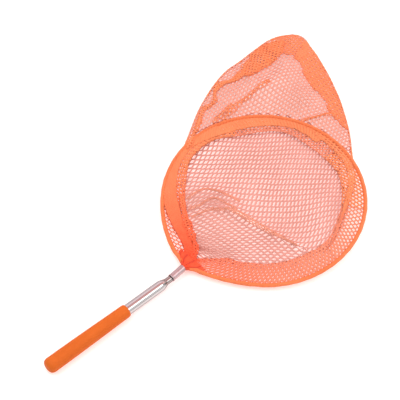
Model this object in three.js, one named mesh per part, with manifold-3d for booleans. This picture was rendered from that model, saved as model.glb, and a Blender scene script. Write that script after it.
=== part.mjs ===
// Telescopic butterfly net, collapsed and lying mouth up, with the bag pulled
// out past the far side of the hoop. Millimetres, +Z up, handle along +X.
import * as THREE from 'three';
import { mergeVertices } from 'three/addons/utils/BufferGeometryUtils.js';
import Module from 'manifold-3d';

const wasm = await Module();
wasm.setup();

// ---------------------------------------------------------------- dimensions
const AXIS_Z = 7.5;            // height of the handle's axis over the floor
const GRIP_LEN = 92.8;
const GRIP_R_BUTT = 7.5;
const GRIP_R_TOP = 6.45;
const GRIP_FLAT_R = 4.0;       // flat disc in the middle of the butt
const GRIP_FLOOR = 4.0;        // rubber left under the blind bore

const TUBE1_R = 5.25;          // outer tube
const TUBE1_BORE = 4.75;
const TUBE1_FOOT = 6.0;
const SHOULDER_X = 132.6;      // swaged shoulder starts here
const NECK_X = 140.1;
const NECK_END = 145.0;
const NECK_R = 3.2;
const NECK_BORE = 2.92;

const TUBE2 = { ro: 2.80, ri: 2.48, mouth: 2.30, x0: 11.0, x1: 145.6 };
const TUBE3 = { ro: 2.18, ri: 1.88, mouth: 1.72, x0: 13.0, x1: 146.2 };
const TUBE4 = { ro: 1.60, ri: 1.32, mouth: 1.17, x0: 15.0, x1: 146.8 };
const TUBE5 = { ro: 1.05, ri: 0.75, mouth: 0.75, x0: 17.0, x1: 153.0 };
const LIP = 0.8;               // length of a flared foot or a stop bead
const SHIM_LEN = 7.0;
const BUSH_LEN = 8.0;
const BUSH_R = 4.65;

const HEAD_BEND = 5.3 * Math.PI / 180;   // the head is bent sideways at the neck
const HOOP_FROM_NECK = 127.1;            // neck end to hoop centre
const FERRULE_R = 3.7;
const FERRULE_BORE = 3.2;
const FERRULE_START = 0.9;
const FERRULE_END = 16.9;
const FERRULE_LIP_R = 3.95;
const CORE_R = 2.9;

const HOOP_R = 98.0;           // centre of the wire
const WIRE_R = 1.2;
const BINDING_R = 2.0;
const BINDING_BORE = 1.5;

const HEM_GAP = 2.6;           // rim centre line to the hem's outer edge
const HEM_WIDTH = 17.0;
const CLOTH_T = 0.8;           // thickness that stands for loose netting

// Direction in which the bag lies pulled out, measured from the handle.
const PULL = 49.6 * Math.PI / 180;
// Outline of the bag past the hoop: across the pull, along the pull, from the hoop centre.
const OUTLINE = [
  [-73.6, 73], [-69.6, 84], [-63.4, 104.4], [-56.8, 120.6], [-46.6, 140.8], [-33, 160], [-18.7, 172.8],
  [-3.8, 188.1], [9.6, 200], [24.1, 206.8], [37.6, 208.2], [45.8, 203], [51.2, 190.2], [59.9, 178.6],
  [67.4, 161.8], [74.8, 142.3], [80.8, 122], [84.8, 100.6], [87.7, 79.5], [88.3, 62],
];
const RIM_LEFT = 140 * Math.PI / 180;    // where the bag's edge leaves the rim
const RIM_RIGHT = 33 * Math.PI / 180;
const BAG_PUFF = 24.0;         // how high the loose upper panel stands
const UPPER_RIM_R = 101.2;

// ----------------------------------------------------------------- materials
const paint = (color, roughness, metalness) =>
  new THREE.MeshStandardMaterial({ color, roughness, metalness });

// ------------------------------------------------------------------- helpers
function signedVolume(g) {
  const p = g.attributes.position;
  const idx = g.index;
  const n = idx ? idx.count : p.count;
  const a = new THREE.Vector3(), b = new THREE.Vector3(), c = new THREE.Vector3();
  let v = 0;
  for (let i = 0; i < n; i += 3) {
    a.fromBufferAttribute(p, idx ? idx.getX(i) : i);
    b.fromBufferAttribute(p, idx ? idx.getX(i + 1) : i + 1);
    c.fromBufferAttribute(p, idx ? idx.getX(i + 2) : i + 2);
    v += a.dot(b.clone().cross(c)) / 6;
  }
  return v;
}

// Welds a geometry to bare positions, drops flat triangles and faces it outwards.
function closed(g) {
  let w = g.clone();
  for (const k of Object.keys(w.attributes)) if (k !== 'position') w.deleteAttribute(k);
  w = mergeVertices(w, 1e-4);
  const src = w.index.array, keep = [];
  for (let i = 0; i < src.length; i += 3) {
    const [a, b, c] = [src[i], src[i + 1], src[i + 2]];
    if (a !== b && b !== c && c !== a) keep.push(a, b, c);
  }
  w.setIndex(keep);
  if (signedVolume(w) < 0) {
    for (let i = 0; i < keep.length; i += 3) [keep[i + 1], keep[i + 2]] = [keep[i + 2], keep[i + 1]];
    w.setIndex(keep);
  }
  w.computeVertexNormals();
  return w;
}

function toManifold(g) {
  const w = closed(g);
  return new wasm.Manifold(new wasm.Mesh({
    numProp: 3,
    vertProperties: new Float32Array(w.attributes.position.array),
    triVerts: new Uint32Array(w.index.array),
  }));
}

function fromManifold(m) {
  const mesh = m.getMesh();
  const g = new THREE.BufferGeometry();
  g.setAttribute('position', new THREE.BufferAttribute(new Float32Array(mesh.vertProperties), 3));
  g.setIndex(Array.from(mesh.triVerts));
  return closed(g);
}

// A turned piece about the X axis, from [radius, x] points.
function turned(points, facets = 24) {
  const g = new THREE.LatheGeometry(points.map(([r, x]) => new THREE.Vector2(r, x)), facets);
  g.rotateZ(-Math.PI / 2);
  return closed(g);
}

const ringProfile = (outer, inner) => [...outer, ...inner.slice().reverse(), outer[0]];

function mesh(name, geometry, material) {
  const m = new THREE.Mesh(geometry, material);
  m.name = name;
  return m;
}

// ------------------------------------------------------------------- handle
const net = new THREE.Group();
const handle = new THREE.Group();
handle.position.z = AXIS_Z;
net.add(handle);

const butt = [];
for (let i = 0; i <= 6; i++) {
  const a = i / 6 * Math.PI / 2;
  butt.push([GRIP_FLAT_R + (GRIP_R_BUTT - GRIP_FLAT_R) * Math.sin(a), 4.2 * (1 - Math.cos(a))]);
}
const shoulder = [];
for (let i = 0; i <= 4; i++) {
  const a = i / 4 * Math.PI / 2;
  shoulder.push([GRIP_R_TOP - 0.85 * (1 - Math.cos(a)), GRIP_LEN - 2.6 + 2.6 * Math.sin(a)]);
}
handle.add(mesh('grip', turned([
  [0, 0], ...butt, [7.42, 24], [7.1, 50], [6.75, 72], ...shoulder,
  [TUBE1_R + 0.12, GRIP_LEN], [TUBE1_R + 0.12, GRIP_FLOOR], [0, GRIP_FLOOR],
], 32), paint(0xf06a22, 0.62, 0)));

handle.add(mesh('tube_end_plug', turned([
  [0, GRIP_FLOOR + 0.3], [TUBE1_R - 0.05, GRIP_FLOOR + 0.3], [TUBE1_R - 0.05, TUBE1_FOOT - 0.2],
  [TUBE1_BORE - 0.15, TUBE1_FOOT - 0.2], [TUBE1_BORE - 0.15, 9.6], [TUBE1_BORE - 0.6, 10.1], [0, 10.1],
]), paint(0x2b2b2d, 0.6, 0)));

handle.add(mesh('tube_1', turned(ringProfile(
  [[TUBE1_R, TUBE1_FOOT], [TUBE1_R, SHOULDER_X], [TUBE1_R - 0.25, SHOULDER_X + 1.6], [NECK_R + 0.95, SHOULDER_X + 4.6],
    [NECK_R + 0.2, NECK_X - 1.0], [NECK_R, NECK_X], [NECK_R, NECK_END - 0.25], [NECK_R - 0.12, NECK_END]],
  [[TUBE1_BORE, TUBE1_FOOT], [TUBE1_BORE, SHOULDER_X], [TUBE1_BORE - 0.25, SHOULDER_X + 1.5], [NECK_R + 0.55, SHOULDER_X + 4.5],
    [NECK_BORE + 0.1, NECK_X - 0.9], [NECK_BORE, NECK_X], [NECK_BORE, NECK_END]],
), 32), paint(0xd7d8da, 0.12, 1)));

// A telescopic section: a flared foot, a stop bead above the sleeve it carries,
// and a mouth rolled in to hold the next section.
function section(t, footR, beadR, sleeveLen) {
  const bead = t.x0 + LIP + 0.2 + sleeveLen + 0.2;
  const outer = [[footR, t.x0], [footR, t.x0 + LIP], [t.ro, t.x0 + LIP], [t.ro, bead], [beadR, bead + 0.1],
    [beadR, bead + LIP], [t.ro, bead + LIP + 0.15], [t.ro, t.x1 - 1.2], [t.ro - 0.1, t.x1]];
  const inner = t.mouth < t.ri
    ? [[t.ri, t.x0], [t.ri, t.x1 - 2.0], [t.mouth, t.x1 - 1.2], [t.mouth, t.x1]]
    : [[t.ri, t.x0], [t.ri, t.x1]];
  return turned(ringProfile(outer, inner));
}
handle.add(mesh('tube_2', section(TUBE2, 3.6, 3.4, BUSH_LEN), paint(0xcfd1d4, 0.16, 1)));
handle.add(mesh('tube_3', section(TUBE3, 2.38, 2.38, SHIM_LEN), paint(0xcfd1d4, 0.16, 1)));
handle.add(mesh('tube_4', section(TUBE4, 1.79, 1.79, SHIM_LEN), paint(0xcfd1d4, 0.16, 1)));
handle.add(mesh('tube_5', section(TUBE5, 1.235, 1.235, SHIM_LEN), paint(0xcfd1d4, 0.16, 1)));

const bushX = TUBE2.x0 + LIP + 0.2;
handle.add(mesh('guide_bush', turned(ringProfile(
  [[BUSH_R - 0.3, bushX], [BUSH_R, bushX + 0.4], [BUSH_R, bushX + BUSH_LEN - 0.4], [BUSH_R - 0.3, bushX + BUSH_LEN]],
  [[TUBE2.ro + 0.08, bushX], [TUBE2.ro + 0.08, bushX + BUSH_LEN]],
)), paint(0xe9e6dc, 0.5, 0)));

// Two brass half shells grip between each section and the bore around it.
function halfShell(ri, ro, x0) {
  const gap = 0.09;
  const s = new THREE.Shape();
  const n = 11, pts = [];
  for (let i = 0; i <= n; i++) { const a = gap + (Math.PI - 2 * gap) * i / n; pts.push([ro * Math.cos(a), ro * Math.sin(a)]); }
  for (let i = n; i >= 0; i--) { const a = gap + (Math.PI - 2 * gap) * i / n; pts.push([ri * Math.cos(a), ri * Math.sin(a)]); }
  s.setFromPoints(pts.map(([x, y]) => new THREE.Vector2(x, y)));
  const g = new THREE.ExtrudeGeometry(s, { depth: SHIM_LEN, bevelEnabled: false, steps: 1 });
  g.rotateY(Math.PI / 2);
  g.translate(x0, 0, 0);
  return closed(g);
}
const shims = [[TUBE3, 2.26, 2.39, '3'], [TUBE4, 1.67, 1.80, '4'], [TUBE5, 1.12, 1.245, '5']];
for (const [t, ri, ro, tag] of shims) {
  const brass = paint(0xb58a3c, 0.35, 1);
  handle.add(mesh(`friction_shim_${tag}a`, halfShell(ri, ro, t.x0 + LIP + 0.2), brass));
  const b = mesh(`friction_shim_${tag}b`, halfShell(ri, ro, t.x0 + LIP + 0.2), paint(0xb58a3c, 0.35, 1));
  b.rotation.x = Math.PI;
  handle.add(b);
}

// --------------------------------------------------------------------- head
// Head frame: +X from the ferrule to the hoop centre, origin at the neck end.
const head = new THREE.Group();
head.position.set(NECK_END, 0, AXIS_Z);
head.rotation.z = HEAD_BEND;
net.add(head);

head.add(mesh('ferrule', turned(ringProfile(
  [[FERRULE_LIP_R - 0.15, FERRULE_START], [FERRULE_LIP_R, FERRULE_START + 0.3], [FERRULE_LIP_R, FERRULE_START + 0.9],
    [FERRULE_R, FERRULE_START + 1.4], [FERRULE_R, FERRULE_END - 0.3], [FERRULE_R - 0.2, FERRULE_END]],
  [[FERRULE_BORE, FERRULE_START], [FERRULE_BORE, FERRULE_END]],
), 28), paint(0xd9c9cc, 0.34, 1)));

{
  const plug = turned([[0, 3.0], [CORE_R, 3.0], [CORE_R, 8.0], [0, 8.0]]);
  const hole = turned([[0, -6], [TUBE5.ro + 0.3, -6], [TUBE5.ro + 0.3, 20], [0, 20]]);
  hole.rotateZ(-HEAD_BEND);
  head.add(mesh('ferrule_core', fromManifold(toManifold(plug).subtract(toManifold(hole))), paint(0x8d8f92, 0.5, 0.6)));
}

// Hoop wire: a circle drawn out to a blunt point, with two short tangs in the ferrule.
const hoop = new THREE.Group();
hoop.position.x = HOOP_FROM_NECK;
head.add(hoop);
// Degrees from the ferrule and radius, on each side; the wire is a little uneven.
const POINT_LEFT = [[5.5, 105.2], [10, 104.6], [17.5, 102.4], [25, 100.5], [33, 98.9], [42, 97.7],
  [54, 97.0], [66, 96.8], [78, 97.0], [92, 97.6]];
const POINT_RIGHT = [[5.5, 104.3], [10, 102.8], [17.5, 100.4], [25, 98.9], [33, 98.1]];
function halfRim(point, circleFrom) {
  const half = [[-117.4, 1.42], [-113.5, 1.42], [-110.6, 1.42], [-108.9, 1.75], [-107.6, 2.9], [-106.6, 5.0]];
  for (const [deg, r] of point) {
    const a = deg * Math.PI / 180;
    half.push([-r * Math.cos(a), r * Math.sin(a)]);
  }
  for (let deg = circleFrom; deg < 175; deg += 12) {
    const a = deg * Math.PI / 180;
    half.push([-HOOP_R * Math.cos(a), HOOP_R * Math.sin(a)]);
  }
  return half;
}
const rimPoints = [...halfRim(POINT_LEFT, 104), [HOOP_R, 0], ...halfRim(POINT_RIGHT, 44).reverse().map(([u, v]) => [u, -v])]
  .map(([u, v]) => new THREE.Vector3(u, v, 0));
const rimCurve = new THREE.CatmullRomCurve3(rimPoints, false, 'centripetal');

const polygon = (r, n) => Array.from({ length: n }, (_, i) => {
  const a = (i + 0.5) / n * 2 * Math.PI;
  return new THREE.Vector2(r * Math.cos(a), r * Math.sin(a));
});
const wireShape = new THREE.Shape(polygon(WIRE_R, 8));
hoop.add(mesh('hoop_wire', closed(new THREE.ExtrudeGeometry(wireShape, {
  steps: 130, extrudePath: rimCurve, bevelEnabled: false,
})), paint(0xb9bbbe, 0.3, 1)));

const fine = rimCurve.getSpacedPoints(640);
const startsAt = fine.findIndex((p) => p.x > -106.9 && p.y > 4.3);
const bindingCurve = new THREE.CatmullRomCurve3(fine.slice(startsAt, fine.length - startsAt), false, 'centripetal');
const bindingShape = new THREE.Shape(polygon(BINDING_R, 8));
bindingShape.holes.push(new THREE.Path(polygon(BINDING_BORE, 8).reverse()));
hoop.add(mesh('rim_binding', closed(new THREE.ExtrudeGeometry(bindingShape, {
  steps: 96, extrudePath: bindingCurve, bevelEnabled: false,
})), paint(0xf0682a, 0.8, 0)));

// ---------------------------------------------------------------------- bag
// Bag frame: +X across the pull, +Y along it, centred under the hoop.
const bag = new THREE.Group();
bag.position.set(
  NECK_END + HOOP_FROM_NECK * Math.cos(HEAD_BEND),
  HOOP_FROM_NECK * Math.sin(HEAD_BEND),
  0,
);
bag.rotation.z = PULL - Math.PI / 2;
net.add(bag);

const smooth = (a, b, x) => {
  const t = Math.min(1, Math.max(0, (x - a) / (b - a)));
  return t * t * (3 - 2 * t);
};

// Builds a closed sheet from a grid of [x, y, zBottom, zTop]; "loop" joins the
// last column to the first.
function sheet(grid, loop) {
  const n = grid.length, m = grid[0].length;
  const pos = [], index = [];
  const id = (i, j, top) => ((i % n) * m + j) * 2 + (top ? 1 : 0);
  for (const col of grid) for (const [x, y, zb, zt] of col) { pos.push(x, y, zb); pos.push(x, y, zt); }
  const quad = (a, b, c, d) => index.push(a, b, c, a, c, d);
  const cols = loop ? n : n - 1;
  for (let i = 0; i < cols; i++) {
    for (let j = 0; j < m - 1; j++) {
      quad(id(i, j, 1), id(i + 1, j, 1), id(i + 1, j + 1, 1), id(i, j + 1, 1));
      quad(id(i, j, 0), id(i, j + 1, 0), id(i + 1, j + 1, 0), id(i + 1, j, 0));
    }
    quad(id(i, 0, 0), id(i + 1, 0, 0), id(i + 1, 0, 1), id(i, 0, 1));
    quad(id(i, m - 1, 0), id(i, m - 1, 1), id(i + 1, m - 1, 1), id(i + 1, m - 1, 0));
  }
  if (!loop) {
    for (let j = 0; j < m - 1; j++) {
      quad(id(0, j, 0), id(0, j, 1), id(0, j + 1, 1), id(0, j + 1, 0));
      quad(id(n - 1, j, 0), id(n - 1, j + 1, 0), id(n - 1, j + 1, 1), id(n - 1, j, 1));
    }
  }
  const g = new THREE.BufferGeometry();
  g.setAttribute('position', new THREE.Float32BufferAttribute(pos, 3));
  g.setIndex(index);
  return closed(g);
}

// Radius of the rim's centre line at an angle from the ferrule.
function rimRadius(angle) {
  const turn = Math.atan2(Math.sin(angle), Math.cos(angle)) * 180 / Math.PI;
  const deg = Math.abs(turn);
  const table = [[0, 105.4], ...(turn < 0 ? POINT_LEFT : POINT_RIGHT), [turn < 0 ? 104 : 42, HOOP_R]];
  for (let k = 0; k < table.length - 1; k++) {
    const [d0, r0] = table[k], [d1, r1] = table[k + 1];
    if (deg < d1) return r0 + (r1 - r0) * (deg - d0) / (d1 - d0);
  }
  return HOOP_R;
}

// Hem: hangs inward from the rim, to the floor on the near side and level on the far side.
{
  const N = 72, grid = [];
  const ferruleAt = Math.PI + HEAD_BEND - bag.rotation.z;
  for (let i = 0; i < N; i++) {
    const a = ferruleAt + i / N * 2 * Math.PI;
    const outer = rimRadius(a - ferruleAt) - HEM_GAP;
    const lift = smooth(-0.35, 0.45, Math.sin(a));
    const zIn = 1.4 + 4.4 * lift;
    const c = Math.cos(a), s = Math.sin(a);
    grid.push([0, 0.5, 1].map((t) => {
      const r = outer - HEM_WIDTH * t;
      const z = AXIS_Z - 0.5 + (zIn - AXIS_Z + 0.5) * t;
      return [r * c, r * s, z, z + CLOTH_T];
    }));
  }
  bag.add(mesh('mouth_hem', sheet(grid, true), paint(0xf4783c, 0.85, 0)));
}

const outline = new THREE.CatmullRomCurve3(
  OUTLINE.map(([x, y]) => new THREE.Vector3(x, y, 0)), false, 'centripetal');

// Lower panel: lies on the floor under the hoop and out to the tip.
{
  const pts = outline.getSpacedPoints(36).map((p) => new THREE.Vector2(p.x, p.y));
  const near = [];
  for (let i = 0; i <= 30; i++) {
    const a = RIM_RIGHT + (RIM_LEFT - 2 * Math.PI - RIM_RIGHT) * i / 30;
    near.push(new THREE.Vector2(86 * Math.cos(a), 86 * Math.sin(a)));
  }
  const s = new THREE.Shape([...pts, ...near]);
  bag.add(mesh('net_lower_panel', closed(new THREE.ExtrudeGeometry(s, {
    depth: CLOTH_T, steps: 1, bevelEnabled: false,
  })), paint(0xf7824a, 0.85, 0)));
}

// Upper panel: leaves the far rim, stands up loosely and comes down to the outline.
{
  const N = 30, M = 8, grid = [];
  const edge = outline.getSpacedPoints(160);
  const edgeDistance = (x, y) => Math.min(...edge.map((p) => Math.hypot(p.x - x, p.y - y)));
  for (let i = 0; i <= N; i++) {
    const a = RIM_LEFT + (RIM_RIGHT - RIM_LEFT) * i / N;
    const rim = new THREE.Vector2(UPPER_RIM_R * Math.cos(a), UPPER_RIM_R * Math.sin(a));
    const o = outline.getPointAt(i / N);
    const col = [];
    for (let j = 0; j <= M; j++) {
      const t = j / M;
      const x = rim.x + (o.x - rim.x) * t, y = rim.y + (o.y - rim.y) * t;
      const out = Math.hypot(x, y) - UPPER_RIM_R;
      const puff = BAG_PUFF * Math.sin(Math.PI / 2 * Math.min(1, edgeDistance(x, y) / 62));
      const z = 1.5 + puff + (AXIS_Z - 0.7 - 1.5 - puff) * (1 - smooth(0, 34, out));
      col.push([x, y, z, z + CLOTH_T]);
    }
    grid.push(col);
  }
  bag.add(mesh('net_upper_panel', sheet(grid, false), paint(0xf7824a, 0.85, 0)));
}

// ------------------------------------------- origin under the middle of the net
net.updateMatrixWorld(true);
const box = new THREE.Box3().setFromObject(net, true);
net.position.set(-(box.min.x + box.max.x) / 2, -(box.min.y + box.max.y) / 2, -box.min.z);
net.updateMatrixWorld(true);

export default net;
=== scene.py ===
import math

import bpy
import numpy as np
from mathutils import Matrix, Vector


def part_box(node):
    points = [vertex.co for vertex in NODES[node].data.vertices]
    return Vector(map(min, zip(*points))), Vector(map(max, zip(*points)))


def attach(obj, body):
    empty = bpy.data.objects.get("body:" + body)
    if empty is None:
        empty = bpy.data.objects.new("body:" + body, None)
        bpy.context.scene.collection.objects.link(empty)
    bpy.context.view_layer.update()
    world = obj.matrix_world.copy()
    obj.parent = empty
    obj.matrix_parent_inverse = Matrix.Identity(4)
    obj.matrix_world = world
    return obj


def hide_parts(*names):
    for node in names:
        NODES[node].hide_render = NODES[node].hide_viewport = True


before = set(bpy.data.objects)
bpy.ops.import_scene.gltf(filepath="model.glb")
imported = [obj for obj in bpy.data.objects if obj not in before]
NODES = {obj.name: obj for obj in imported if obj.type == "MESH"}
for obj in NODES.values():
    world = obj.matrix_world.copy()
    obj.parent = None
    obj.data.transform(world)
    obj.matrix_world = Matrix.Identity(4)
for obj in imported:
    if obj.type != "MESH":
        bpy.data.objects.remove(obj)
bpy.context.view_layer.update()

# ------------------------------------------------------------------ frames
# Working unit is the millimetre; a mesh is written in metres at the end.
_lo, _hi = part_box("grip")
OX = _lo.x * 1000.0                       # butt of the grip
OY = (_lo.y + _hi.y) * 500.0              # handle axis
AXIS_Z = 7.5
BEND = math.radians(5.3)                  # the head turns sideways at the neck
HOOP_S = 127.1                            # neck end to hoop centre
BAG_TURN = math.radians(49.6 - 90.0)      # bag frame: X across the pull, Y along it
CX = OX + 145.0 + HOOP_S * math.cos(BEND)
CY = OY + HOOP_S * math.sin(BEND)


def from_handle(p):
    p = np.asarray(p, float)
    return p + np.array([OX, OY, AXIS_Z])


def from_head(p):
    p = np.asarray(p, float)
    c, s = math.cos(BEND), math.sin(BEND)
    return np.stack([OX + 145.0 + p[:, 0] * c - p[:, 1] * s,
                     OY + p[:, 0] * s + p[:, 1] * c,
                     AXIS_Z + p[:, 2]], 1)


def from_bag(p):
    p = np.asarray(p, float)
    c, s = math.cos(BAG_TURN), math.sin(BAG_TURN)
    return np.stack([CX + p[:, 0] * c - p[:, 1] * s,
                     CY + p[:, 0] * s + p[:, 1] * c,
                     p[:, 2]], 1)


# ------------------------------------------------------------------ numbers
def smooth(a, b, x):
    t = np.clip((np.asarray(x, float) - a) / (b - a), 0, 1)
    return t * t * (3 - 2 * t)


class Waves:
    """A smooth, repeatable wavy field over the plan, of about unit size."""

    def __init__(self, seed, longest, shortest, n=9):
        r = np.random.default_rng(seed)
        length = shortest * (longest / shortest) ** r.random(n)
        a = r.random(n) * 2 * np.pi
        self.kx, self.ky = 2 * np.pi / length * np.cos(a), 2 * np.pi / length * np.sin(a)
        self.ph = r.random(n) * 2 * np.pi
        self.g = math.sqrt(2.0 / n)

    def __call__(self, x, y):
        return self.g * np.sin(np.multiply.outer(x, self.kx) + np.multiply.outer(y, self.ky) + self.ph).sum(-1)


def catmull(points, step, closed=False):
    """Points about step apart on a smooth curve through the given ones."""
    p = np.asarray(points, float)
    n = len(p)
    out = []
    for i in range(n if closed else n - 1):
        if closed:
            a, b, c, d = p[(i - 1) % n], p[i], p[(i + 1) % n], p[(i + 2) % n]
        else:
            b, c = p[i], p[i + 1]
            a = p[i - 1] if i else 2 * b - c
            d = p[i + 2] if i + 2 < n else 2 * c - b
        t1 = max(np.linalg.norm(b - a), 1e-6) ** 0.5
        t2 = t1 + max(np.linalg.norm(c - b), 1e-6) ** 0.5
        t3 = t2 + max(np.linalg.norm(d - c), 1e-6) ** 0.5
        m = max(2, int(math.ceil(np.linalg.norm(c - b) / step)))
        t = (t1 + (t2 - t1) * np.arange(m) / m)[:, None]
        a1 = (t1 - t) / t1 * a + t / t1 * b
        a2 = (t2 - t) / (t2 - t1) * b + (t - t1) / (t2 - t1) * c
        a3 = (t3 - t) / (t3 - t2) * c + (t - t2) / (t3 - t2) * d
        b1 = (t2 - t) / t2 * a1 + t / t2 * a2
        b2 = (t3 - t) / (t3 - t1) * a2 + (t - t1) / (t3 - t1) * a3
        out.append((t2 - t) / (t2 - t1) * b1 + (t - t1) / (t2 - t1) * b2)
    if not closed:
        out.append(p[-1:])
    return np.concatenate(out)


def spaced(line, step):
    line = np.asarray(line, float)
    along = np.concatenate([[0], np.cumsum(np.linalg.norm(np.diff(line, axis=0), axis=1))])
    m = max(2, int(round(along[-1] / step)) + 1)
    at = np.linspace(0, along[-1], m)
    return np.stack([np.interp(at, along, line[:, k]) for k in range(line.shape[1])], 1)


def to_line(p, line, closed=False):
    """Distance from each plan point to a polyline, the nearest point on it, and how far along it lies."""
    a = line
    b = np.roll(line, -1, axis=0)
    if not closed:
        a, b = a[:-1], b[:-1]
    seg = b - a
    ll = np.maximum((seg ** 2).sum(1), 1e-9)
    start = np.concatenate([[0], np.cumsum(np.sqrt(ll))])[:-1]
    best = np.full(len(p), 1e18)
    near = np.zeros((len(p), 2))
    at = np.zeros(len(p))
    side = np.zeros(len(p))
    for k in range(len(a)):
        d = p - a[k]
        t = np.clip((d @ seg[k]) / ll[k], 0, 1)
        q = a[k] + t[:, None] * seg[k]
        e = ((p - q) ** 2).sum(1)
        m = e < best
        best[m] = e[m]
        near[m] = q[m]
        at[m] = start[k] + t[m] * math.sqrt(ll[k])
        side[m] = np.sign(seg[k][0] * d[m, 1] - seg[k][1] * d[m, 0])
    return np.sqrt(best), near, at, side


def inside(p, poly):
    x, y = p[:, 0], p[:, 1]
    r = np.zeros(len(p), bool)
    a, b = poly, np.roll(poly, -1, axis=0)
    for (x0, y0), (x1, y1) in zip(a, b):
        if y0 == y1:
            continue
        m = (y0 > y) != (y1 > y)
        r ^= m & (x < (x1 - x0) * (y - y0) / (y1 - y0) + x0)
    return r


def ring_table(pairs, soften=3.0):
    """A value round the hoop, in degrees of the bag frame, softened a little."""
    d, v = zip(*sorted(pairs))
    g = np.interp(np.arange(360.0), d, v, period=360)
    k = np.arange(-12, 13)
    w = np.exp(-0.5 * (k / soften) ** 2)
    g = sum(np.roll(g, s) * x for s, x in zip(k, w)) / w.sum()
    return lambda th: np.interp(np.asarray(th, float) % 360, np.arange(361.0), np.append(g, g[0]))


# ------------------------------------------------------------------- meshes
def piece(name, verts, quads, mat, body, node=None, sharp=40.0, uv=None, weld=None, tris=None):
    """Makes a mesh object from millimetre points, shades it smooth and lets it ride on a body."""
    me = bpy.data.meshes.new(name)
    verts = np.asarray(verts, float) / 1000.0
    loops = [np.asarray(quads, np.int32).reshape(-1)] if len(quads) else []
    sizes = [np.full(len(quads), 4, np.int32)] if len(quads) else []
    if tris is not None and len(tris):
        loops.append(np.asarray(tris, np.int32).reshape(-1))
        sizes.append(np.full(len(tris), 3, np.int32))
    loops, sizes = np.concatenate(loops), np.concatenate(sizes)
    me.vertices.add(len(verts))
    me.vertices.foreach_set("co", verts.astype(np.float32).ravel())
    me.loops.add(len(loops))
    me.loops.foreach_set("vertex_index", loops)
    me.polygons.add(len(sizes))
    me.polygons.foreach_set("loop_start", np.concatenate([[0], np.cumsum(sizes)[:-1]]).astype(np.int32))
    me.polygons.foreach_set("use_smooth", np.ones(len(sizes), bool))
    me.update(calc_edges=True)
    if uv is not None:
        layer = me.uv_layers.new(name="Surface")
        layer.uv.foreach_set("vector", np.asarray(uv, np.float32)[loops].ravel())
    me.validate()
    if weld:
        import bmesh
        bm = bmesh.new()
        bm.from_mesh(me)
        bmesh.ops.remove_doubles(bm, verts=bm.verts, dist=weld / 1000.0)
        bmesh.ops.dissolve_degenerate(bm, edges=bm.edges, dist=weld / 2000.0)
        bm.to_mesh(me)
        bm.free()
    if sharp:
        me.set_sharp_from_angle(angle=math.radians(sharp))
    me.materials.append(mat)
    ob = bpy.data.objects.new(name, me)
    bpy.context.scene.collection.objects.link(ob)
    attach(ob, body)
    if node:
        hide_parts(*([node] if isinstance(node, str) else node))
    return ob


def volume(v, q):
    a, b, c, d = (v[q[:, k]] for k in range(4))
    return ((a * np.cross(b, c)).sum() + (a * np.cross(c, d)).sum()) / 6


def lathe(profile, segs=96, loop=True):
    """A turned body about X from (radius, x) points: a closed loop, or a line that starts and ends on the axis."""
    pr = np.asarray(profile, float)
    n = len(pr)
    a = np.arange(segs) / segs * 2 * np.pi
    v = np.stack([np.repeat(pr[:, 1], segs),
                  (pr[:, 0:1] * np.cos(a)).ravel(),
                  (pr[:, 0:1] * np.sin(a)).ravel()], 1)
    i = np.arange(n if loop else n - 1)[:, None]
    j = np.arange(segs)[None]
    i2, j2 = (i + 1) % n, (j + 1) % segs
    q = np.stack([i * segs + j, i * segs + j2, i2 * segs + j2, i2 * segs + j], -1).reshape(-1, 4)
    if volume(v, q) < 0:
        q = q[:, ::-1]
    return v, q


def soften(points, r=0.12, n=3):
    """Rounds the corners of a closed (radius, x) profile with short arcs."""
    p = np.asarray(points, float)
    out = []
    m = len(p)
    for k in range(m):
        a, b, c = p[k - 1], p[k], p[(k + 1) % m]
        u, w = a - b, c - b
        lu, lw = np.linalg.norm(u), np.linalg.norm(w)
        if lu < 1e-6 or lw < 1e-6:
            out.append(b)
            continue
        cosine = (u @ w) / (lu * lw)
        if cosine < -0.97:
            out.append(b)
            continue
        cut = min(r, lu * 0.4, lw * 0.4)
        s, e = b + u / lu * cut, b + w / lw * cut
        for t in np.linspace(0, 1, n + 1):
            out.append((1 - t) ** 2 * s + 2 * t * (1 - t) * b + t ** 2 * e)
    return out


def sweep(path, rx, rz, segs=16, cap=True):
    """A tube along a path, with half width rx and half height rz at each point."""
    path = np.asarray(path, float)
    n = len(path)
    t = np.gradient(path, axis=0)
    t /= np.linalg.norm(t, axis=1)[:, None]
    side = np.cross(np.array([0, 0, 1.0]), t)
    side /= np.linalg.norm(side, axis=1)[:, None]
    up = np.cross(t, side)
    rx = np.broadcast_to(np.asarray(rx, float).reshape(n if np.ndim(rx) else 1, -1), (n, segs))
    rz = np.broadcast_to(np.asarray(rz, float).reshape(n if np.ndim(rz) else 1, -1), (n, segs))
    a = np.arange(segs) / segs * 2 * np.pi
    v = path[:, None] + side[:, None] * (rx * np.cos(a))[..., None] + up[:, None] * (rz * np.sin(a))[..., None]
    i = np.arange(n - 1)[:, None]
    j = np.arange(segs)[None]
    j2 = (j + 1) % segs
    q = np.stack([i * segs + j, (i + 1) * segs + j, (i + 1) * segs + j2, i * segs + j2], -1).reshape(-1, 4)
    q = q[:, ::-1]
    v = v.reshape(-1, 3)
    tri = []
    if cap:
        c0, c1 = len(v), len(v) + 1
        v = np.concatenate([v, path[:1], path[-1:]])
        for k in range(segs):
            k2 = (k + 1) % segs
            tri.append((c0, k2, k))
            tri.append((c1, (n - 1) * segs + k, (n - 1) * segs + k2))
    along = np.concatenate([[0], np.cumsum(np.linalg.norm(np.diff(path, axis=0), axis=1))])
    uv = np.stack([np.repeat(along, segs), np.tile(np.arange(segs) / segs, n)], 1)
    if cap:
        uv = np.concatenate([uv, [[0, 0], [along[-1], 0]]])
    return v, q, np.asarray(tri, int), uv


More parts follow.
